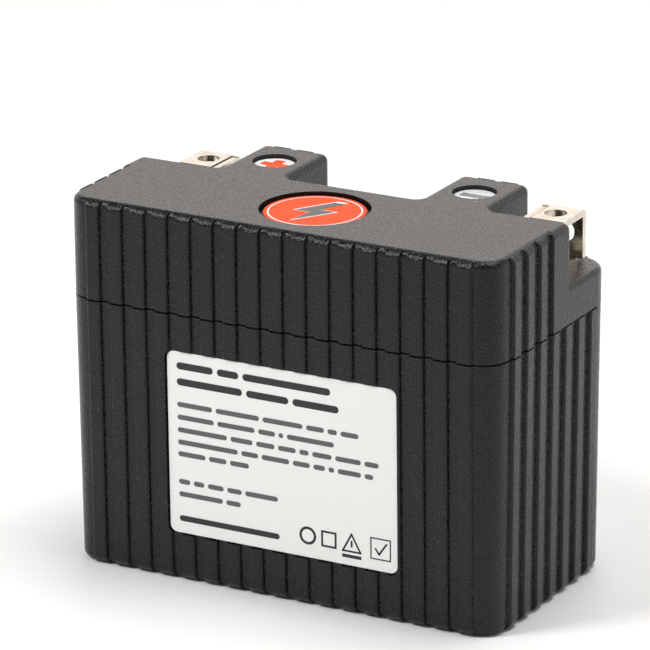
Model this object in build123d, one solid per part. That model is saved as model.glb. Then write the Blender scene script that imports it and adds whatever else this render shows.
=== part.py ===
from build123d import *
import math
import os

# ---------------------------------------------------------------- driving dimensions (mm)
# X = long side, Y = short side (care label faces -Y), Z = up, origin = middle of the underside.
WIDTH, DEPTH, HEIGHT = 113.0, 59.0, 89.0

RIB_DEPTH = 0.8              # ribs stand this far out of the wall
RIB_TOP, RIB_BASE, RIB_EDGE_R = 3.2, 3.9, 0.6
RIB_PITCH_LONG, RIBS_LONG = 6.0, 17
RIB_PITCH_SHORT, RIBS_SHORT = 6.44, 7
CORNER_R = 6.0               # plan corner of the walls between the ribs
DRAFT_DEG = 0.56             # the lower case narrows towards its foot
FOOT_R = 2.2                 # rounding of the foot
EDGE_R = 2.1                 # rounding of the top edges

CASE_TOP = 64.8              # rim of the lower case
COVER_BOTTOM = 65.2          # skirt of the top cover
CASE_WALL = 2.2
COVER_WALL = 3.1
SPIGOT_DEPTH = 3.0           # collar of the cover that drops inside the case
SPIGOT_WALL = 2.0
SPIGOT_GAP = 0.15

SHELF_Z = 74.0               # floor of the terminal bays and of the middle notch
SHELF_EDGE_R = 1.3
BLOCK_BACK = 7.4             # back wall of the full-width front block
TOWER_IN, TOWER_OUT = 17.5, 35.2
INSIDE_R = 2.0               # upright edges of block and towers
BACK_CORNER_R = 8.0          # back corners of the cover
SKIN = 2.4                   # thickness of the cover above its hollows

LABEL_W, LABEL_H, LABEL_X, LABEL_Z = 59.6, 44.4, 1.0, 33.8
BACK_LABEL_W, BACK_LABEL_H, BACK_LABEL_Z = 83.0, 46.0, 33.8
LABEL_R, LABEL_T, LABEL_GAP = 1.8, 0.25, 0.4

BADGE_X, BADGE_Y, BADGE_R = 26.35, 17.6, 4.95
BADGE_DEPTH, BADGE_T, BADGE_GAP = 1.5, 0.5, 0.3

CAP_Y, CAP_R = -10.3, 12.5
CAP_RECESS_GAP = 0.4
CAP_RECESS_DEPTH, CAP_FLANGE_T = 2.4, 1.3
PORT_R, PLUG_R, PLUG_WALL, PLUG_DEPTH = 9.6, 9.2, 1.2, 3.0
CAP_BADGE_R, CAP_BADGE_T = 11.8, 0.4

TERM_IN, TERM_OUT = 40.2, 50.6     # the two sides of a terminal, measured from the middle
TERM_FRONT, TERM_BACK = 14.8, 26.2
TERM_TOP, TERM_T = 86.0, 1.5
TERM_SLIT = 0.4
TERM_REAR_FOOT = 74.4              # lower edge of the back plate
FLANGE_FRONT, FLANGE_BACK = 16.6, 22.0
BOLT_X, BOLT_R = 45.8, 2.65        # M5 clearance holes
BOLT_TOP_Y, BOLT_REAR_Z = 20.4, 80.6
RIVET_Y, RIVET_R, RIVET_HEAD_R, RIVET_HEAD_T = 19.3, 1.5, 2.4, 0.7

CELL_W, CELL_D, CELL_H = 25.2, 49.0, 56.0
CELL_PAD_T, BASE_PAD_T = 1.2, 1.0
POST_R, POST_H, POST_Y = 4.0, 2.5, 15.5
CLAMP_T, CLAMP_HOLE_R = 1.5, 4.6
LINK_T, LINK_W = 0.8, 9.0
SCREW_R, SCREW_HEAD_R, SCREW_HEAD_T, SCREW_LEN = 1.5, 2.8, 1.6, 2.0

BOARD_W, BOARD_D, BOARD_T, BOARD_Z = 62.0, 26.0, 1.6, 74.0
BOARD_SCREW_X, BOARD_SCREW_Y = 28.0, 10.0
BOSS_R, BOSS_HOLE_R = 3.0, 1.3
PORT_W, PORT_D, PORT_H, PORT_WALL = 14.8, 6.6, 7.4, 0.9
PINS, PIN_PITCH, PIN_SIDE = 5, 2.5, 0.64
LEAD_R, LEAD_DROP, LEAD_BEND_R = 0.65, 2.3, 1.8

HALF_W, HALF_D = WIDTH / 2, DEPTH / 2
WALL_X, WALL_Y = HALF_W - RIB_DEPTH, HALF_D - RIB_DEPTH
DRAFT = math.tan(math.radians(DRAFT_DEG))
FLOOR_Z = CASE_WALL
CELL_Z = FLOOR_Z + BASE_PAD_T
CELL_TOP = CELL_Z + CELL_H
POST_TOP = CELL_TOP + POST_H
LINK_TOP = POST_TOP + LINK_T
CELL_X = [(i - 1.5) * (CELL_W + CELL_PAD_T) for i in range(4)]
SIDES = (-1, 1)
CLEAR = 0.05                 # keeps cutting shapes off the faces they should not touch


# ---------------------------------------------------------------- helpers
def block(x0, x1, y0, y1, z0, z1):
    """Box between two corners."""
    return Pos(x0, y0, z0) * Box(x1 - x0, y1 - y0, z1 - z0, align=(Align.MIN,) * 3)


def disc(x, y, z0, z1, r):
    """Upright cylinder between two levels."""
    return Pos(x, y, z0) * Cylinder(r, z1 - z0, align=(Align.CENTER, Align.CENTER, Align.MIN))


def rounded_prism(half_x, half_y, r, z0, z1, taper=0.0):
    """Rounded rectangle, extruded from z0 towards z1 (either way)."""
    face = Pos(0, 0, z0) * RectangleRounded(2 * half_x, 2 * half_y, r)
    return extrude(face, amount=abs(z1 - z0), dir=(0, 0, 1 if z1 > z0 else -1), taper=taper)


def edges_at(part, z, tol=0.02):
    """Edges that lie in the level plane z."""
    return [e for e in part.edges()
            if abs(e.bounding_box().min.Z - z) < tol and abs(e.bounding_box().max.Z - z) < tol]


def rib(z0, z1, drop):
    """One rib on the wall at X = 0, standing out in +Y; its foot at z0 lies `drop` further in."""
    root = -0.6
    flare = RIB_BASE / 2 - root * (RIB_BASE - RIB_TOP) / 2 / RIB_DEPTH
    outline = Polygon((-flare, root), (flare, root), (RIB_TOP / 2, RIB_DEPTH),
                      (-RIB_TOP / 2, RIB_DEPTH), align=None)
    outline = fillet(outline.vertices().group_by(Axis.Y)[-1], RIB_EDGE_R)
    return loft([Pos(0, -drop, z0) * outline, Pos(0, 0, z1) * outline], ruled=True)


def ribs(z0, z1, drop, short_range):
    """The ribs of both long sides, and those of the short sides that short_range names."""
    one = rib(z0, z1, drop)
    out = []
    for k in range(RIBS_LONG):
        x = (k - (RIBS_LONG - 1) / 2) * RIB_PITCH_LONG
        out.append(Pos(x, WALL_Y, 0) * one)
        out.append(Pos(x, -WALL_Y, 0) * Rot(0, 0, 180) * one)
    for k in short_range:
        y = (k - (RIBS_SHORT - 1) / 2) * RIB_PITCH_SHORT
        out.append(Pos(WALL_X, y, 0) * Rot(0, 0, -90) * one)
        out.append(Pos(-WALL_X, y, 0) * Rot(0, 0, 90) * one)
    return out


def tilted_plane(side, z):
    """Plane on the wall of the lower case at height z; side -1 = front, +1 = back."""
    y = side * (WALL_Y - (CASE_TOP - z) * DRAFT)
    return Plane(origin=(0, y, z), x_dir=(-side, 0, 0), z_dir=(0, side, -DRAFT))


# ---------------------------------------------------------------- lower case
def lower_case():
    drop = CASE_TOP * DRAFT
    body = rounded_prism(WALL_X, WALL_Y, CORNER_R, CASE_TOP, 0, DRAFT_DEG)
    body = fillet(edges_at(body, 0), FOOT_R - 0.6)
    envelope = rounded_prism(HALF_W + CLEAR, HALF_D + CLEAR, CORNER_R + RIB_DEPTH, CASE_TOP, 0, DRAFT_DEG)
    envelope = fillet(edges_at(envelope, 0), FOOT_R)
    fins = [r & envelope for r in ribs(0, CASE_TOP, drop, range(RIBS_SHORT))]
    body = body + fins
    for side, w, h, x, z in ((-1, LABEL_W, LABEL_H, LABEL_X, LABEL_Z),
                             (1, BACK_LABEL_W, BACK_LABEL_H, 0, BACK_LABEL_Z)):
        pocket = RectangleRounded(w + 2 * LABEL_GAP, h + 2 * LABEL_GAP, LABEL_R + LABEL_GAP)
        body -= extrude(tilted_plane(side, z) * Pos(-side * x, 0, 0) * pocket, amount=3)
    body -= rounded_prism(WALL_X - CASE_WALL, WALL_Y - CASE_WALL, CORNER_R - CASE_WALL,
                          CASE_TOP, FLOOR_Z, DRAFT_DEG)
    return body


def wall_label(side, w, h, x, z):
    face = RectangleRounded(w, h, LABEL_R)
    return extrude(tilted_plane(side, z) * Pos(-side * x, 0, 0) * face, amount=LABEL_T)


# ---------------------------------------------------------------- top cover
def cover_outline(z):
    """Plan of the cover: ribbed walls in front, smooth flush walls beside the terminals."""
    flush = -0.5 * (RIB_BASE + RIB_TOP) / 2           # where the smooth wall starts
    ramp = (RIB_BASE - RIB_TOP) / 4
    xc, yc = WALL_X - CORNER_R, WALL_Y - CORNER_R
    bx, by = HALF_W - BACK_CORNER_R, WALL_Y - BACK_CORNER_R
    s = math.sqrt(0.5)
    right = [
        Line((0, -WALL_Y), (xc, -WALL_Y)),
        ThreePointArc((xc, -WALL_Y), (xc + CORNER_R * s, -yc - CORNER_R * s), (WALL_X, -yc)),
        Line((WALL_X, -yc), (WALL_X, flush - ramp)),
        Line((WALL_X, flush - ramp), (HALF_W, flush + ramp)),
        Line((HALF_W, flush + ramp), (HALF_W, by)),
        ThreePointArc((HALF_W, by), (bx + BACK_CORNER_R * s, by + BACK_CORNER_R * s), (bx, WALL_Y)),
        Line((bx, WALL_Y), (0, WALL_Y)),
    ]
    left = [e.mirror(Plane.YZ) for e in right]
    return Pos(0, 0, z) * make_face(right + left)


def raised_plan(grow=0.0):
    """Plan of everything that rises above the shelf: the front block and the two towers."""
    plan = Pos(0, (BLOCK_BACK - grow - 60) / 2) * Rectangle(2 * HALF_W + 20, BLOCK_BACK - grow + 60)
    for s in SIDES:
        mid, wide = s * (TOWER_IN + TOWER_OUT) / 2, TOWER_OUT - TOWER_IN - 2 * grow
        plan += Pos(mid, 20) * Rectangle(wide, 60)
    return plan


def top_cover():
    skirt = extrude(cover_outline(COVER_BOTTOM), amount=SHELF_Z - COVER_BOTTOM)
    outline = extrude(cover_outline(COVER_BOTTOM), amount=HEIGHT - COVER_BOTTOM)
    raised = outline & extrude(Pos(0, 0, COVER_BOTTOM) * raised_plan(), amount=HEIGHT - COVER_BOTTOM)
    corners = [e for e in raised.edges().filter_by(Axis.Z) if on_raised_corner(e)]
    raised = fillet(corners, INSIDE_R)
    raised = fillet(edges_at(raised, HEIGHT), EDGE_R - 0.4)
    skirt = fillet(edges_at(skirt, SHELF_Z), SHELF_EDGE_R)
    envelope = rounded_prism(HALF_W + CLEAR, HALF_D + CLEAR, CORNER_R + RIB_DEPTH, COVER_BOTTOM, HEIGHT)
    envelope = fillet(edges_at(envelope, HEIGHT), EDGE_R)
    low_envelope = rounded_prism(HALF_W + CLEAR, HALF_D + CLEAR, CORNER_R + RIB_DEPTH, COVER_BOTTOM, SHELF_Z)
    low_envelope = fillet(edges_at(low_envelope, SHELF_Z), SHELF_EDGE_R + 0.4)
    fins = []
    tower_gap = (TOWER_IN - 2, TOWER_OUT + 2)
    for r in ribs(COVER_BOTTOM, HEIGHT, 0.0, range(3)):
        c = r.bounding_box().center()
        behind = c.Y > BLOCK_BACK
        tall = not behind or tower_gap[0] + 4 < abs(c.X) < tower_gap[1] - 4
        fins.append(r & (envelope if tall else low_envelope))
    body = skirt + raised + fins

    body -= cover_hollow()
    body += spigot()
    for s in SIDES:
        body -= disc(s * BADGE_X, BADGE_Y, HEIGHT - BADGE_DEPTH, HEIGHT + 1, BADGE_R + BADGE_GAP)
        body -= disc(s * BOLT_X, RIVET_Y, COVER_BOTTOM, SHELF_Z + 1, RIVET_R + 0.3)
    recess_floor = HEIGHT - CAP_RECESS_DEPTH
    body += disc(0, CAP_Y, recess_floor - 4.2, HEIGHT - SKIN + 0.5, PORT_R + 1.8)
    body += disc(0, CAP_Y, recess_floor - 1.8, HEIGHT - SKIN + 0.5, CAP_R + 2.0)
    body -= disc(0, CAP_Y, recess_floor, HEIGHT + 1, CAP_R + CAP_RECESS_GAP)
    body -= disc(0, CAP_Y, recess_floor - 5, HEIGHT, PORT_R)
    for sx in SIDES:
        for sy in SIDES:
            x, y = sx * BOARD_SCREW_X, CAP_Y + sy * BOARD_SCREW_Y
            body += disc(x, y, BOARD_Z + BOARD_T, HEIGHT - 1, BOSS_R)
            body -= disc(x, y, BOARD_Z, BOARD_Z + BOARD_T + 5, BOSS_HOLE_R)
    return body


def on_raised_corner(edge):
    """True for the upright edges at the back of the block and round the towers."""
    c = edge.center()
    if edge.length < HEIGHT - COVER_BOTTOM - 1:
        return False
    at_block = abs(c.Y - BLOCK_BACK) < 0.1
    at_tower = abs(c.Y - WALL_Y) < 0.1 and min(abs(abs(c.X) - TOWER_IN), abs(abs(c.X) - TOWER_OUT)) < 0.1
    return at_block or at_tower


def cover_hollow():
    """The space under the cover: a shallow part under the shelf and a tall part under the block."""
    in_x, in_y = HALF_W - RIB_DEPTH - COVER_WALL, WALL_Y - COVER_WALL
    low = rounded_prism(in_x, in_y, 3.0, COVER_BOTTOM - 1, SHELF_Z - SKIN)
    tall = rounded_prism(in_x, in_y, 3.0, COVER_BOTTOM - 1, HEIGHT - SKIN)
    tall &= block(-HALF_W, HALF_W, -HALF_D, BLOCK_BACK - SKIN, COVER_BOTTOM - 1, HEIGHT)
    towers = [block(s * (TOWER_IN + TOWER_OUT) / 2 - 6.4, s * (TOWER_IN + TOWER_OUT) / 2 + 6.4,
                    0, in_y, COVER_BOTTOM, HEIGHT - SKIN - BADGE_DEPTH) for s in SIDES]
    return low + tall + towers


def spigot():
    out_x, out_y = WALL_X - CASE_WALL - SPIGOT_GAP, WALL_Y - CASE_WALL - SPIGOT_GAP
    ring = rounded_prism(out_x, out_y, CORNER_R - CASE_WALL - SPIGOT_GAP, COVER_BOTTOM + 1,
                         COVER_BOTTOM - SPIGOT_DEPTH)
    inside = rounded_prism(out_x - SPIGOT_WALL, out_y - SPIGOT_WALL, 2.0, COVER_BOTTOM + 2,
                           COVER_BOTTOM - SPIGOT_DEPTH - 1)
    return ring - inside


def case_seal():
    """Flat gasket between rim and cover, set back so the joint shows as a dark line."""
    out_x, out_y = WALL_X - 0.8, WALL_Y - 0.8
    in_x, in_y = WALL_X - CASE_WALL, WALL_Y - CASE_WALL
    ring = rounded_prism(out_x, out_y, CORNER_R - 0.8, CASE_TOP, COVER_BOTTOM)
    return ring - rounded_prism(in_x, in_y, CORNER_R - CASE_WALL, CASE_TOP, COVER_BOTTOM)


# ---------------------------------------------------------------- cap over the balance port
def port_cap():
    floor_z = HEIGHT - CAP_RECESS_DEPTH
    top = floor_z + CAP_FLANGE_T
    cap = disc(0, CAP_Y, floor_z, top, CAP_R)
    cap = fillet(edges_at(cap, top), 0.25)
    plug = disc(0, CAP_Y, floor_z - PLUG_DEPTH, floor_z + 0.2, PLUG_R)
    plug = chamfer(edges_at(plug, floor_z - PLUG_DEPTH), 0.4)
    plug -= disc(0, CAP_Y, floor_z - PLUG_DEPTH, floor_z, PLUG_R - PLUG_WALL)
    return cap + plug


def cap_badge():
    z = HEIGHT - CAP_RECESS_DEPTH + CAP_FLANGE_T
    return disc(0, CAP_Y, z, z + CAP_BADGE_T, CAP_BADGE_R)


def pole_badge(side):
    z = HEIGHT - BADGE_DEPTH
    return disc(side * BADGE_X, BADGE_Y, z, z + BADGE_T, BADGE_R)


# ---------------------------------------------------------------- terminals
def terminal(side):
    """Folded box terminal: side plate, top plate, back plate and a foot flange on the shelf."""
    back = block(TERM_IN, TERM_OUT, TERM_BACK - TERM_T, TERM_BACK, TERM_REAR_FOOT, TERM_TOP)
    top = block(TERM_IN + TERM_T + TERM_SLIT, TERM_OUT, TERM_FRONT, TERM_BACK - 0.2,
                TERM_TOP - TERM_T, TERM_TOP)
    inner = block(TERM_IN, TERM_IN + TERM_T, TERM_FRONT, TERM_BACK - 0.2, SHELF_Z, TERM_TOP - 0.2)
    inner -= block(TERM_IN - 1, TERM_IN + TERM_T + 1, FLANGE_BACK, TERM_BACK + 1,
                   SHELF_Z - 1, TERM_REAR_FOOT)
    foot = block(TERM_IN, TERM_OUT, FLANGE_FRONT, FLANGE_BACK, SHELF_Z, SHELF_Z + TERM_T)
    body = back + top + inner + foot
    bends = [e for e in body.edges()
             if abs(e.center().Y - TERM_BACK) < 0.01 and
             (abs(e.center().Z - TERM_TOP) < 0.01 or abs(e.center().X - TERM_IN) < 0.01)]
    body = fillet(bends, 0.8)
    body -= disc(BOLT_X, BOLT_TOP_Y, TERM_TOP - 3, TERM_TOP + 1, BOLT_R)
    body -= Pos(BOLT_X, TERM_BACK, BOLT_REAR_Z) * Rot(90, 0, 0) * Cylinder(BOLT_R, 6)
    body -= disc(BOLT_X, RIVET_Y, SHELF_Z - 1, SHELF_Z + 3, RIVET_R + 0.3)
    return body if side > 0 else body.mirror(Plane.YZ)


def terminal_rivets():
    """Rivets that clamp foot flange, shelf and strap together."""
    low, high = SHELF_Z - SKIN - LINK_T, SHELF_Z + TERM_T
    out = []
    for s in SIDES:
        x = s * BOLT_X
        r = disc(x, RIVET_Y, low, high, RIVET_R)
        r += disc(x, RIVET_Y, high, high + RIVET_HEAD_T, RIVET_HEAD_R)
        r += disc(x, RIVET_Y, low - RIVET_HEAD_T, low, RIVET_HEAD_R)
        out.append(r)
    return Compound(children=out)


# ---------------------------------------------------------------- cells and what joins them
def cell(i):
    """Prismatic cell with two posts; every second one is turned round."""
    body = block(-CELL_W / 2, CELL_W / 2, -CELL_D / 2, CELL_D / 2, CELL_Z, CELL_TOP)
    body = fillet(body.edges().filter_by(Axis.Z), 1.2)
    for s in SIDES:
        body += disc(0, s * POST_Y, CELL_TOP, POST_TOP, POST_R)
        body -= disc(0, s * POST_Y, POST_TOP - 1.9, POST_TOP + 1, SCREW_R + 0.3)
    body -= disc(0, 0, CELL_TOP - 0.3, CELL_TOP + 1, 2.5)
    turned = Rot(0, 0, 180 if i % 2 else 0) * body
    return Pos(CELL_X[i], 0, 0) * turned


def cell_pad(i):
    x = (CELL_X[i] + CELL_X[i + 1]) / 2
    return block(x - CELL_PAD_T / 2, x + CELL_PAD_T / 2, -23, 23, CELL_Z + 1, CELL_TOP - 1)


def base_pad():
    return block(-50, 50, -23, 23, FLOOR_Z, CELL_Z)


def cell_clamp():
    """Plastic plate that ties the four cells together, with holes for posts and vents."""
    plate = block(-51, 51, -23.5, 23.5, CELL_TOP, CELL_TOP + CLAMP_T)
    for x in CELL_X:
        for s in SIDES:
            plate -= disc(x, s * POST_Y, CELL_TOP - 1, CELL_TOP + 3, CLAMP_HOLE_R)
        plate -= disc(x, 0, CELL_TOP - 1, CELL_TOP + 3, 3.2)
    return plate


def link_row(i):
    """Y of the posts that link i joins: the links zigzag from cell to cell."""
    return POST_Y if i % 2 else -POST_Y


def series_link(i):
    x0, x1, y = CELL_X[i], CELL_X[i + 1], link_row(i)
    bar = block(x0 - 4.5, x1 + 4.5, y - LINK_W / 2, y + LINK_W / 2, POST_TOP, LINK_TOP)
    bar = fillet(bar.edges().filter_by(Axis.Z), 1.5)
    for x in (x0, x1):
        bar -= disc(x, y, POST_TOP - 1, LINK_TOP + 1, SCREW_R + 0.3)
    return bar


def strap(side):
    """Strap from the outer cell's free post up to the rivet under the terminal."""
    x0, x1 = side * abs(CELL_X[0]), side * BOLT_X
    y, top = POST_Y, SHELF_Z - SKIN
    low = block(x0 - 4.5, x0 + 4.5, y - 4.5, y + 4.5, POST_TOP, LINK_TOP)
    riser = block(x0 - 3.2, x0 + 3.2, y + 3.7, y + 4.5, POST_TOP, top)
    left, right = sorted((x0 - side * 3.2, x1 + side * 4.0))
    high = block(left, right, y - 0.2, y + 4.5 + 3, top - LINK_T, top)
    body = low + riser + high
    body -= disc(x0, y, POST_TOP - 1, LINK_TOP + 1, SCREW_R + 0.3)
    body -= disc(x1, RIVET_Y, top - 3, top + 1, RIVET_R + 0.3)
    return body


def link_screws():
    """One pan-head screw on every post."""
    out = []
    for x in CELL_X:
        for s in SIDES:
            sc = disc(x, s * POST_Y, LINK_TOP, LINK_TOP + SCREW_HEAD_T, SCREW_HEAD_R)
            sc = fillet(edges_at(sc, LINK_TOP + SCREW_HEAD_T), 0.7)
            sc += disc(x, s * POST_Y, LINK_TOP - SCREW_LEN, LINK_TOP, SCREW_R)
            sc -= Pos(x, s * POST_Y, LINK_TOP + SCREW_HEAD_T) * Box(3.4, 0.7, 1.4)
            sc -= Pos(x, s * POST_Y, LINK_TOP + SCREW_HEAD_T) * Box(0.7, 3.4, 1.4)
            out.append(sc)
    return Compound(children=out)


# ---------------------------------------------------------------- balance electronics
def balance_board():
    plate = block(-BOARD_W / 2, BOARD_W / 2, CAP_Y - BOARD_D / 2, CAP_Y + BOARD_D / 2,
                  BOARD_Z, BOARD_Z + BOARD_T)
    for sx in SIDES:
        for sy in SIDES:
            plate -= disc(sx * BOARD_SCREW_X, CAP_Y + sy * BOARD_SCREW_Y, BOARD_Z - 1,
                          BOARD_Z + 3, 1.6)
    return plate


def board_screws():
    out = []
    for sx in SIDES:
        for sy in SIDES:
            x, y = sx * BOARD_SCREW_X, CAP_Y + sy * BOARD_SCREW_Y
            out.append(disc(x, y, BOARD_Z - 1.2, BOARD_Z, 2.4) +
                       disc(x, y, BOARD_Z, BOARD_Z + 5, 1.0))
    return Compound(children=out)


def board_parts():
    """Switching transistors, bleed resistors and the lead socket on the board."""
    top, under = BOARD_Z + BOARD_T, BOARD_Z
    out = [block(x - 2.6, x + 2.6, CAP_Y + 5, CAP_Y + 11, top, top + 2.3) for x in (-18, 18)]
    out += [block(x - 1.6, x + 1.6, CAP_Y - 10, CAP_Y - 8.4, top, top + 0.7)
            for x in (-20, -15.5, 15.5, 20)]
    out.append(block(-8, 8, CAP_Y - 3, CAP_Y + 3, under - 4.5, under))
    return Compound(children=out)


def balance_port():
    """Five-way socket that faces up under the cap."""
    z = BOARD_Z + BOARD_T
    shell = block(-PORT_W / 2, PORT_W / 2, CAP_Y - PORT_D / 2, CAP_Y + PORT_D / 2, z, z + PORT_H)
    shell = fillet(shell.edges().filter_by(Axis.Z), 0.5)
    shell -= block(-PORT_W / 2 + PORT_WALL, PORT_W / 2 - PORT_WALL, CAP_Y - PORT_D / 2 + PORT_WALL,
                   CAP_Y + PORT_D / 2 - PORT_WALL, z + 1.5, z + PORT_H + 1)
    for x in pin_row():
        shell -= Pos(x, CAP_Y, z) * Box(PIN_SIDE + 0.2, PIN_SIDE + 0.2, 8)
    return shell


def pin_row():
    return [(k - (PINS - 1) / 2) * PIN_PITCH for k in range(PINS)]


def port_pins():
    z = BOARD_Z + BOARD_T
    half = PIN_SIDE / 2
    return Compound(children=[block(x - half, x + half, CAP_Y - half, CAP_Y + half, z, z + PORT_H - 1.4)
                              for x in pin_row()])


def balance_leads():
    """Five thin leads from the socket under the board to the cell joints."""
    start_z = BOARD_Z - 4.5
    links = [((CELL_X[i] + CELL_X[i + 1]) / 2, link_row(i)) for i in range(3)]
    ends = [(CELL_X[0] + 3.6, POST_Y - 3.6), *links, (CELL_X[3] - 3.6, POST_Y - 3.6)]
    out = []
    for x, (ex, ey) in zip(pin_row(), ends):
        a, b = Vector(x, CAP_Y, start_z), Vector(ex, ey, LINK_TOP)
        path = FilletPolyline(a, a - (0, 0, LEAD_DROP), b + (0, 0, LEAD_DROP), b, radius=LEAD_BEND_R)
        out.append(sweep(Plane(origin=a, z_dir=(0, 0, -1)) * Circle(LEAD_R), path=path))
    return Compound(children=out)


PARTS = {
    "lower_case": lower_case(),
    "top_cover": top_cover(),
    "case_seal": case_seal(),
    "care_label": wall_label(-1, LABEL_W, LABEL_H, LABEL_X, LABEL_Z),
    "back_label": wall_label(1, BACK_LABEL_W, BACK_LABEL_H, 0, BACK_LABEL_Z),
    "port_cap": port_cap(),
    "cap_badge": cap_badge(),
    "positive_badge": pole_badge(-1),
    "negative_badge": pole_badge(1),
    "positive_terminal": terminal(-1),
    "negative_terminal": terminal(1),
    "terminal_rivets": terminal_rivets(),
    "base_pad": base_pad(),
    "cell_clamp": cell_clamp(),
    "positive_strap": strap(-1),
    "negative_strap": strap(1),
    "link_screws": link_screws(),
    "balance_board": balance_board(),
    "board_screws": board_screws(),
    "board_parts": board_parts(),
    "balance_port": balance_port(),
    "port_pins": port_pins(),
    "balance_leads": balance_leads(),
}
for n in range(4):
    PARTS[f"cell_{n + 1}"] = cell(n)
for n in range(3):
    PARTS[f"cell_pad_{n + 1}"] = cell_pad(n)
    PARTS[f"series_link_{n + 1}"] = series_link(n)

os.makedirs("parts", exist_ok=True)
for name, shape in PARTS.items():
    shape.label = name
    export_step(shape, f"parts/{name}.step")
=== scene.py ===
import math

import bmesh
import bpy
from mathutils import Matrix, Vector


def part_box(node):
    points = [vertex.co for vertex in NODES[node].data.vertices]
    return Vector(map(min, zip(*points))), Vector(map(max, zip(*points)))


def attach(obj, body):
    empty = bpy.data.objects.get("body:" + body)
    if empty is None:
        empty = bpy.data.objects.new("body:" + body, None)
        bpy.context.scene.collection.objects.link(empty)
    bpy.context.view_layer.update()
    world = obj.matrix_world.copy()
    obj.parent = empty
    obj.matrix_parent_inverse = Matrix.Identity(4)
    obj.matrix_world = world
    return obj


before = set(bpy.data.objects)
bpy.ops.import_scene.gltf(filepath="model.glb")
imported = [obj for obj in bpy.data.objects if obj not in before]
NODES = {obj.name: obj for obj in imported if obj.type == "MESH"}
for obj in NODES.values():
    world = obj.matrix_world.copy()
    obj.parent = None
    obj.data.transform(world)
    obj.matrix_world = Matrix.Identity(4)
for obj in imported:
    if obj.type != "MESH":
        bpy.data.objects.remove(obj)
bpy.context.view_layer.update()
MM = 0.001

# ---------------------------------------------------------------- camera and light
LENS_MM, SENSOR_MM = 288.4, 36.0
AZIMUTH, ELEVATION, ROLL = 29.093, 18.858, -0.42      # degrees
AIM = Vector((-0.0112, 0.0141, 0.0518))
DISTANCE = 1.221

GLOW, CEILING = (1.0, 0.95, 0.91), (0.08, 0.08, 0.08)
WORLD_STRENGTH, FRONT_SHARE = 1.42, 0.30
# Square soft boxes: name, place, target, side (m), power (W).
LAMPS = [
    ("key", (-0.51, -0.58, 0.88), (0, 0, 0.08), 0.32, 7.4),
    ("overhead", (0.24, 0.15, 1.20), (0, 0.05, 0.03), 0.7, 9.7),
    ("sweep", (-0.30, 1.10, 0.95), (-0.40, 1.05, 0.0), 0.9, 3.5),
]


def make_camera():
    data = bpy.data.cameras.new("camera")
    data.lens, data.sensor_width, data.clip_end = LENS_MM, SENSOR_MM, 20.0
    cam = bpy.data.objects.new("camera", data)
    bpy.context.scene.collection.objects.link(cam)
    turn = (Matrix.Rotation(math.radians(AZIMUTH), 4, "Z")
            @ Matrix.Rotation(math.radians(90 - ELEVATION), 4, "X")
            @ Matrix.Rotation(math.radians(ROLL), 4, "Z"))
    cam.matrix_world = Matrix.Translation(AIM) @ turn @ Matrix.Translation((0, 0, DISTANCE))
    bpy.context.scene.camera = cam


def area_light(name, spot, target, size, watts):
    data = bpy.data.lights.new(name, "AREA")
    data.shape, data.size, data.size_y = "RECTANGLE", size[0], size[1]
    data.energy = watts
    lamp = bpy.data.objects.new(name, data)
    lamp.location = spot
    lamp.rotation_euler = (Vector(target) - Vector(spot)).to_track_quat("-Z", "Y").to_euler()
    bpy.context.scene.collection.objects.link(lamp)


def make_world():
    """White sweep behind and around, dark ceiling: brightness follows direction only."""
    world = bpy.data.worlds.new("studio")
    world.use_nodes = True
    tree = world.node_tree
    back = tree.nodes["Background"]
    split = node(tree, "ShaderNodeSeparateXYZ")
    tree.links.new(node(tree, "ShaderNodeTexCoord").outputs["Generated"], split.inputs["Vector"])
    height = ramp(tree, split.outputs["Z"], [(0.0, GLOW), (0.37, GLOW), (0.52, CEILING), (1.0, CEILING)])
    depth = spread(tree, split.outputs["Y"], FRONT_SHARE, 1.0, -0.6, 0.6)
    tree.links.new(height, back.inputs["Color"])
    strength = node(tree, "ShaderNodeMath", operation="MULTIPLY")
    strength.inputs[1].default_value = WORLD_STRENGTH
    tree.links.new(depth, strength.inputs[0])
    tree.links.new(strength.outputs["Value"], back.inputs["Strength"])
    bpy.context.scene.world = world


def make_lights():
    for name, spot, target, size, watts in LAMPS:
        area_light(name, spot, target, (size, size), watts)
    bpy.context.scene.view_settings.view_transform = "Standard"


# ---------------------------------------------------------------- material helpers
def new_material(name, colour, roughness, metallic=0.0, level=0.5):
    mat = bpy.data.materials.new(name)
    mat.use_nodes = True
    shader = mat.node_tree.nodes["Principled BSDF"]
    shader.inputs["Base Color"].default_value = (*colour, 1)
    shader.inputs["Roughness"].default_value = roughness
    shader.inputs["Metallic"].default_value = metallic
    shader.inputs["Specular IOR Level"].default_value = level
    return mat, mat.node_tree, shader


def node(tree, kind, **values):
    made = tree.nodes.new(kind)
    for key, value in values.items():
        if key in made.inputs:
            made.inputs[key].default_value = value
        else:
            setattr(made, key, value)
    return made


def place(tree, stretch=(1, 1, 1)):
    """Object coordinates in metres, stretched."""
    coords = node(tree, "ShaderNodeTexCoord")
    mapping = node(tree, "ShaderNodeMapping")
    mapping.inputs["Scale"].default_value = stretch
    tree.links.new(coords.outputs["Object"], mapping.inputs["Vector"])
    return mapping.outputs["Vector"]


def noise(tree, where, scale, detail=3.0, rough=0.6):
    made = node(tree, "ShaderNodeTexNoise", Scale=scale, Detail=detail, Roughness=rough)
    tree.links.new(where, made.inputs["Vector"])
    return made.outputs["Fac"]


def ramp(tree, source, stops):
    made = node(tree, "ShaderNodeValToRGB")
    elements = made.color_ramp.elements
    while len(elements) < len(stops):
        elements.new(0.5)
    for element, (at, colour) in zip(elements, stops):
        element.position, element.color = at, (*colour, 1)
    tree.links.new(source, made.inputs["Fac"])
    return made.outputs["Color"]


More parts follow.
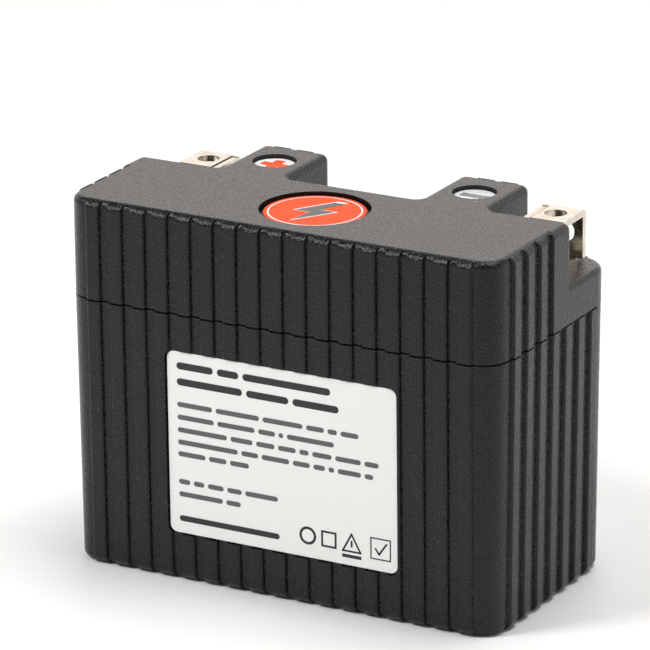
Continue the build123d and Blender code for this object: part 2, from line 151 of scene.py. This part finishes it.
def spread(tree, source, low, high, start=0.0, end=1.0):
    made = node(tree, "ShaderNodeMapRange")
    for key, value in (("From Min", start), ("From Max", end), ("To Min", low), ("To Max", high)):
        made.inputs[key].default_value = value
    tree.links.new(source, made.inputs["Value"])
    return made.outputs["Result"]


def bump(tree, shader, height, distance, strength=1.0, under=None):
    made = node(tree, "ShaderNodeBump", Strength=strength, Distance=distance)
    tree.links.new(height, made.inputs["Height"])
    if under is not None:
        tree.links.new(under, made.inputs["Normal"])
    tree.links.new(made.outputs["Normal"], shader.inputs["Normal"])
    return made.outputs["Normal"]


def moulded(name, dark, light, rough, level, grain=1900.0, depth=0.00018):
    """Moulded plastic with a spark-eroded grain: fine speckle in colour, gloss and height."""
    mat, tree, shader = new_material(name, dark, rough, level=level)
    where = place(tree)
    fine = noise(tree, where, grain, 2.0, 0.65)
    broad = noise(tree, where, 90.0, 3.0, 0.55)
    colour = ramp(tree, fine, [(0.35, dark), (0.60, light), (0.70, tuple(4.0 * c for c in light))])
    tint = node(tree, "ShaderNodeMix", data_type="RGBA", blend_type="MULTIPLY")
    tint.inputs["Factor"].default_value = 0.35
    tree.links.new(colour, tint.inputs["A"])
    tree.links.new(ramp(tree, broad, [(0.3, (0.75, 0.75, 0.75)), (0.7, (1, 1, 1))]), tint.inputs["B"])
    tree.links.new(tint.outputs["Result"], shader.inputs["Base Color"])
    tree.links.new(spread(tree, fine, rough - 0.10, rough + 0.14, 0.3, 0.7), shader.inputs["Roughness"])
    bump(tree, shader, fine, depth)
    return mat


def metal(name, colour, deep, rough, brushed=(1, 1, 1), scale=900.0):
    """Plated or bare metal with faint handling marks and a soft brushed grain."""
    mat, tree, shader = new_material(name, colour, rough, metallic=1.0)
    where = place(tree, brushed)
    fine = noise(tree, where, scale, 4.0, 0.6)
    patch = noise(tree, place(tree), 260.0, 3.0, 0.6)
    tree.links.new(ramp(tree, patch, [(0.32, deep), (0.58, colour)]), shader.inputs["Base Color"])
    tree.links.new(spread(tree, fine, rough - 0.07, rough + 0.10, 0.3, 0.7), shader.inputs["Roughness"])
    bump(tree, shader, fine, 0.000004)
    return mat


def film(name, colour, rough=0.32, level=0.4):
    """Printed film: almost even colour, a faint orange-peel surface and a little ink mottle."""
    mat, tree, shader = new_material(name, colour, rough, level=level)
    where = place(tree)
    mottle = noise(tree, where, 2600.0, 3.0, 0.5)
    shade = tuple(0.975 * c for c in colour)
    tree.links.new(ramp(tree, mottle, [(0.35, shade), (0.6, colour)]), shader.inputs["Base Color"])
    peel = noise(tree, where, 700.0, 2.0, 0.5)
    tree.links.new(spread(tree, peel, rough - 0.05, rough + 0.07, 0.3, 0.7), shader.inputs["Roughness"])
    bump(tree, shader, peel, 0.000002)
    return mat


def foam(name, colour):
    mat, tree, shader = new_material(name, colour, 0.9, level=0.2)
    cells = node(tree, "ShaderNodeTexVoronoi", Scale=1600.0)
    tree.links.new(place(tree), cells.inputs["Vector"])
    lighter = tuple(1.8 * c for c in colour)
    tree.links.new(ramp(tree, cells.outputs["Distance"], [(0.0, colour), (0.6, lighter)]),
                   shader.inputs["Base Color"])
    bump(tree, shader, cells.outputs["Distance"], 0.0001)
    return mat


# ---------------------------------------------------------------- materials
CHARCOAL, CHARCOAL_LIGHT = (0.0050, 0.0050, 0.0052), (0.0095, 0.0095, 0.0098)
M = {
    "case": moulded("case_plastic", CHARCOAL, CHARCOAL_LIGHT, 0.20, 0.31),
    "cover": moulded("cover_plastic", CHARCOAL, CHARCOAL_LIGHT, 0.20, 0.31),
    "cap": moulded("cap_plastic", CHARCOAL, CHARCOAL_LIGHT, 0.22, 0.31),
    "seal": moulded("seal_rubber", (0.006, 0.006, 0.006), (0.010, 0.010, 0.010), 0.7, 0.2),
    "label": film("label_film", (0.93, 0.93, 0.92), 0.4, 0.3),
    "ink": film("label_ink", (0.022, 0.022, 0.024), 0.4),
    "ink_soft": film("label_ink_soft", (0.115, 0.115, 0.12), 0.4),
    "back_label": film("back_label_film", (0.62, 0.63, 0.64)),
    "back_band": film("back_label_band", (0.045, 0.047, 0.052)),
    "orange": film("badge_orange", (0.88, 0.080, 0.014), 0.50, 0.12),
    "white": film("badge_white", (0.86, 0.86, 0.85), 0.28),
    "silver": film("badge_silver", (0.70, 0.71, 0.72), 0.28),
    "graphite": film("badge_graphite", (0.035, 0.036, 0.040), 0.28),
    "grey": film("badge_grey", (0.16, 0.165, 0.17), 0.28),
    "nickel": metal("terminal_nickel", (0.72, 0.67, 0.59), (0.62, 0.55, 0.45), 0.24),
    "rivet": metal("rivet_nickel", (0.80, 0.77, 0.71), (0.62, 0.56, 0.46), 0.3),
    "copper": metal("bare_copper", (0.83, 0.47, 0.30), (0.62, 0.30, 0.18), 0.32, (1, 14, 1)),
    "steel": metal("zinc_steel", (0.60, 0.61, 0.63), (0.42, 0.42, 0.43), 0.34),
    "can": metal("cell_can", (0.62, 0.64, 0.67), (0.48, 0.50, 0.54), 0.38, (1, 1, 20)),
    "gold": metal("pin_gold", (0.86, 0.67, 0.34), (0.70, 0.48, 0.20), 0.22),
    "foam": foam("foam_grey", (0.035, 0.035, 0.038)),
    "inner": moulded("inner_plastic", (0.055, 0.055, 0.06), (0.085, 0.085, 0.09), 0.5, 0.4),
    "board": moulded("board_mask", (0.008, 0.075, 0.028), (0.012, 0.105, 0.040), 0.3, 0.5, 2400.0, 0.00002),
    "chip": moulded("component_black", (0.010, 0.010, 0.010), (0.020, 0.020, 0.020), 0.5, 0.4),
    "nylon": moulded("port_nylon", (0.55, 0.53, 0.46), (0.64, 0.62, 0.54), 0.45, 0.4, 1800.0, 0.00002),
    "lead": moulded("lead_pvc", (0.30, 0.014, 0.012), (0.38, 0.022, 0.018), 0.4, 0.5),
}

LOOKS = {
    "lower_case": "case", "top_cover": "cover", "case_seal": "seal", "care_label": "label",
    "back_label": "back_label", "port_cap": "cap", "cap_badge": "orange", "positive_badge": "white",
    "negative_badge": "silver", "positive_terminal": "nickel", "negative_terminal": "nickel",
    "terminal_rivets": "rivet", "base_pad": "foam", "cell_clamp": "inner", "positive_strap": "copper",
    "negative_strap": "copper", "link_screws": "steel", "balance_board": "board",
    "board_screws": "steel", "board_parts": "chip", "balance_port": "nylon", "port_pins": "gold",
    "balance_leads": "lead",
}


def look_of(name):
    if name.startswith("cell_pad"):
        return "foam"
    if name.startswith("series_link"):
        return "copper"
    return LOOKS.get(name, "can")


def dress_nodes():
    for name, obj in NODES.items():
        for slot in obj.material_slots:
            slot.material = M[look_of(name)]


def soften(name, width, segments=3, angle=35):
    """Small rounded edges on a CAD node, as pressed metal and moulded plastic have."""
    edge = NODES[name].modifiers.new("soft_edges", "BEVEL")
    edge.width, edge.segments = width, segments
    edge.limit_method, edge.angle_limit = "ANGLE", math.radians(angle)


# ---------------------------------------------------------------- printed pieces
DRAFT_DEG = 0.56                    # lean of the case walls
PRINT_T, PRINT_LIFT = 0.03 * MM, 0.005 * MM


def add_print(name, outlines, to_world, look, body, thick=PRINT_T):
    """A thin printed layer: flat outlines (lists of (u, v) in metres) raised off a surface."""
    bm = bmesh.new()
    for outline in outlines:
        low = [bm.verts.new((u, v, 0)) for u, v in outline]
        high = [bm.verts.new((u, v, thick)) for u, v in outline]
        count = len(outline)
        bm.faces.new(high)
        bm.faces.new(low[::-1])
        for k in range(count):
            bm.faces.new((low[k], low[(k + 1) % count], high[(k + 1) % count], high[k]))
    bmesh.ops.recalc_face_normals(bm, faces=bm.faces)
    mesh = bpy.data.meshes.new(name)
    bm.to_mesh(mesh)
    bm.free()
    mesh.transform(to_world)
    mesh.materials.append(M[look])
    piece = bpy.data.objects.new(name, mesh)
    bpy.context.scene.collection.objects.link(piece)
    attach(piece, body)
    return piece


def bar(u, v, wide, high, r=None):
    """Rounded bar with its lower left corner at (u, v)."""
    r = min(wide, high) / 2 * 0.98 if r is None else r
    out = []
    for cx, cy, start in ((u + wide - r, v + r, -90), (u + wide - r, v + high - r, 0),
                          (u + r, v + high - r, 90), (u + r, v + r, 180)):
        for k in range(5):
            a = math.radians(start + 22.5 * k)
            out.append((cx + r * math.cos(a), cy + r * math.sin(a)))
    return out


def ring(u, v, outer, inner, parts=48):
    """A ring as a row of small four-sided outlines."""
    out = []
    for k in range(parts):
        a, b = 2 * math.pi * k / parts, 2 * math.pi * (k + 1) / parts
        out.append([(u + inner * math.cos(a), v + inner * math.sin(a)),
                    (u + outer * math.cos(a), v + outer * math.sin(a)),
                    (u + outer * math.cos(b), v + outer * math.sin(b)),
                    (u + inner * math.cos(b), v + inner * math.sin(b))])
    return out


def stroke(points, wide, closed=False):
    """A line of even width through points, as separate straight bars."""
    out = []
    pairs = list(zip(points, points[1:] + points[:1] if closed else points[1:]))
    for (ax, ay), (bx, by) in pairs:
        length = math.hypot(bx - ax, by - ay)
        dx, dy = (bx - ax) / length, (by - ay) / length
        ax, ay, bx, by = ax - dx * wide / 2, ay - dy * wide / 2, bx + dx * wide / 2, by + dy * wide / 2
        nx, ny = -dy * wide / 2, dx * wide / 2
        out.append([(ax - nx, ay - ny), (bx - nx, by - ny), (bx + nx, by + ny), (ax + nx, ay + ny)])
    return out


def square(u, v, half):
    return [(u - half, v - half), (u + half, v - half), (u + half, v + half), (u - half, v + half)]


def wall_frame(name, side):
    """Matrix from a label's own (u, v, out) to the world, on its leaning outer face."""
    low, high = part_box(name)
    lean = math.radians(DRAFT_DEG)
    outer = low.y if side < 0 else high.y
    origin = Vector(((low.x + high.x) / 2, outer - side * (high.z - low.z) / 2 * math.tan(lean),
                     (low.z + high.z) / 2))
    u = Vector((-side, 0, 0))
    out = Vector((0, side * math.cos(lean), -math.sin(lean)))
    v = out.cross(u)
    turn = Matrix((u, v, out)).transposed().to_4x4()
    return Matrix.Translation(origin + out * PRINT_LIFT) @ turn, (high.x - low.x) / 2, (high.z - low.z) / 2


def words(u, v, high, widths, gap):
    """A row of bars that stands for a line of print."""
    out = []
    for wide in widths:
        out.append(bar(u, v, wide, high))
        u += wide + gap
    return out


# Rows of the care label: top and bottom below its upper edge, and the word-like bars, all mm.
BOLD_ROWS = [(2.5, 4.2, (9.6, 5.6, 22.8)), (6.4, 8.1, (17.2, 11.0, 11.9)), (40.1, 41.5, (26.5,))]
SMALL_ROWS = [(12.2, 13.4, (9.2, 11.4, 10.4, 4.6, 2.4, 4.6)), (15.3, 16.5, (9.6, 9.8, 4.4, 1.2, 12.2)),
              (18.4, 19.6, (13.0, 5.8, 4.8, 4.6, 2.4, 5.0, 6.6, 3.6)),
              (21.4, 22.6, (15.8, 4.4, 7.2, 4.4, 3.0, 1.4, 6.0, 2.2)), (24.3, 25.5, (7.2, 4.6, 5.0)),
              (31.1, 32.3, (3.0, 2.8, 4.2, 3.8, 8.6)), (34.2, 35.4, (11.6, 3.8))]
PRINT_LEFT = 2.5


def row_bars(rows, left, top, gap):
    out = []
    for high, low, widths in rows:
        out += words(left, top - low * MM, (low - high) * MM, [w * MM for w in widths], gap)
    return out


def care_print():
    to_world, half_w, half_h = wall_frame("care_label", -1)
    left, top = -half_w + PRINT_LEFT * MM, half_h
    bold = row_bars(BOLD_ROWS, left, top, 1.1 * MM)
    add_print("care_print_bold", bold, to_world, "ink", "battery")
    small = row_bars(SMALL_ROWS, left, top, 0.95 * MM)
    add_print("care_print_small", small, to_world, "ink_soft", "battery")

    base = top - 39.1 * MM
    spots = [-half_w + x * MM for x in (36.4, 41.9, 47.8, 55.3)]
    signs = ring(spots[0], base, 2.2 * MM, 1.55 * MM)
    signs += stroke(square(spots[1], base, 1.75 * MM), 0.5 * MM, closed=True)
    cx = spots[2]
    signs += stroke([(cx - 2.3 * MM, base - 1.9 * MM), (cx + 2.3 * MM, base - 1.9 * MM),
                     (cx, base + 2.3 * MM)], 0.45 * MM, closed=True)
    signs.append(bar(cx - 0.25 * MM, base - 0.9 * MM, 0.5 * MM, 1.7 * MM))
    signs.append(bar(cx - 2.5 * MM, base - 3.5 * MM, 5.0 * MM, 0.8 * MM, 0.1 * MM))
    cx = spots[3]
    signs += stroke(square(cx, base, 2.5 * MM), 0.32 * MM, closed=True)
    signs += stroke([(cx - 1.3 * MM, base - 0.1 * MM), (cx - 0.4 * MM, base - 1.3 * MM),
                     (cx + 1.5 * MM, base + 1.4 * MM)], 0.45 * MM)
    add_print("care_print_signs", signs, to_world, "ink", "battery")


def back_print():
    to_world, half_w, half_h = wall_frame("back_label", 1)
    band = [bar(-half_w + 1.2 * MM, half_h - 15.2 * MM, 2 * half_w - 2.4 * MM, 14.0 * MM, 1.2 * MM)]
    add_print("back_print_band", band, to_world, "back_band", "battery")
    rows = []
    for k, row in enumerate(((16, 22, 9), (24, 10, 14), (12, 19), (20, 9, 12, 7))):
        rows += words(-half_w + 5 * MM, half_h - (21.5 + 5.2 * k) * MM, 1.5 * MM, [w * MM for w in row],
                      1.4 * MM)
    add_print("back_print_rows", rows, to_world, "ink", "battery")
    cell = [(half_w - 19 * MM, half_h - 35 * MM), (half_w - 5 * MM, half_h - 35 * MM),
            (half_w - 5 * MM, half_h - 26 * MM), (half_w - 19 * MM, half_h - 26 * MM)]
    marks = stroke(cell, 0.7 * MM, closed=True)
    marks.append(bar(half_w - 16.8 * MM, half_h - 26 * MM, 2.6 * MM, 1.8 * MM, 0.2 * MM))
    marks.append(bar(half_w - 9.8 * MM, half_h - 26 * MM, 2.6 * MM, 1.8 * MM, 0.2 * MM))
    marks.append(bar(half_w - 17.2 * MM, half_h - 30.9 * MM, 3.4 * MM, 0.8 * MM, 0.05 * MM))
    marks.append(bar(half_w - 15.9 * MM, half_h - 32.2 * MM, 0.8 * MM, 3.4 * MM, 0.05 * MM))
    marks.append(bar(half_w - 10.2 * MM, half_h - 30.9 * MM, 3.4 * MM, 0.8 * MM, 0.05 * MM))
    add_print("back_print_marks", marks, to_world, "ink", "battery")


def disc_frame(name):
    low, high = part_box(name)
    return Matrix.Translation(((low.x + high.x) / 2, (low.y + high.y) / 2, high.z + PRINT_LIFT)), \
        (high.x - low.x) / 2


# Lightning bolt of the cap badge, in shares of the disc's radius.
BOLT = [(0.10, 0.74), (-0.44, -0.10), (-0.06, -0.10), (-0.16, -0.74), (0.44, 0.14), (0.05, 0.14),
        (0.34, 0.74)]
BOLT_INSET = 0.87


def badge_prints():
    to_world, r = disc_frame("positive_badge")
    arm, wide = r * 0.70, r * 0.50
    plus = [bar(-arm, -wide / 2, arm - wide / 2, wide, 0.1 * MM),
            bar(wide / 2, -wide / 2, arm - wide / 2, wide, 0.1 * MM),
            bar(-wide / 2, -arm, wide, 2 * arm, 0.1 * MM)]
    add_print("positive_plus", plus, to_world, "orange", "battery")
    to_world, r = disc_frame("negative_badge")
    minus = [bar(-r * 0.70, -r * 0.24, r * 1.40, r * 0.48, 0.15 * MM)]
    add_print("negative_minus", minus, to_world, "grey", "battery")
    to_world, r = disc_frame("cap_badge")
    rim = ring(0, 0, r * 0.93, r * 0.895, 72)
    add_print("cap_badge_rim", rim, to_world, "silver", "cap")
    outer = [(r * x, r * y) for x, y in BOLT]
    inner = [(BOLT_INSET * x, BOLT_INSET * y) for x, y in outer]
    add_print("cap_badge_bolt_edge", [outer], to_world, "silver", "cap", 0.02 * MM)
    add_print("cap_badge_bolt", [inner], to_world, "graphite", "cap", 0.04 * MM)


# ---------------------------------------------------------------- floor
FLOOR_R, FLOOR_GAP = 6.0, 0.0002


def make_floor():
    bm = bmesh.new()
    bmesh.ops.create_circle(bm, cap_ends=True, radius=FLOOR_R, segments=96)
    mesh = bpy.data.meshes.new("floor")
    bm.to_mesh(mesh)
    bm.free()
    mat, tree, shader = new_material("floor_paper", (0.93, 0.925, 0.915), 0.6, level=0.3)
    grain = noise(tree, place(tree), 40.0, 4.0, 0.6)
    tree.links.new(ramp(tree, grain, [(0.3, (0.925, 0.92, 0.91)), (0.7, (0.935, 0.93, 0.92))]),
                   shader.inputs["Base Color"])
    mesh.materials.append(mat)
    floor = bpy.data.objects.new("floor", mesh)
    floor.location.z = -FLOOR_GAP
    bpy.context.scene.collection.objects.link(floor)


make_camera()
make_world()
make_lights()
make_floor()
dress_nodes()
care_print()
back_print()
badge_prints()
for terminal in ("positive_terminal", "negative_terminal"):
    soften(terminal, 0.22 * MM)
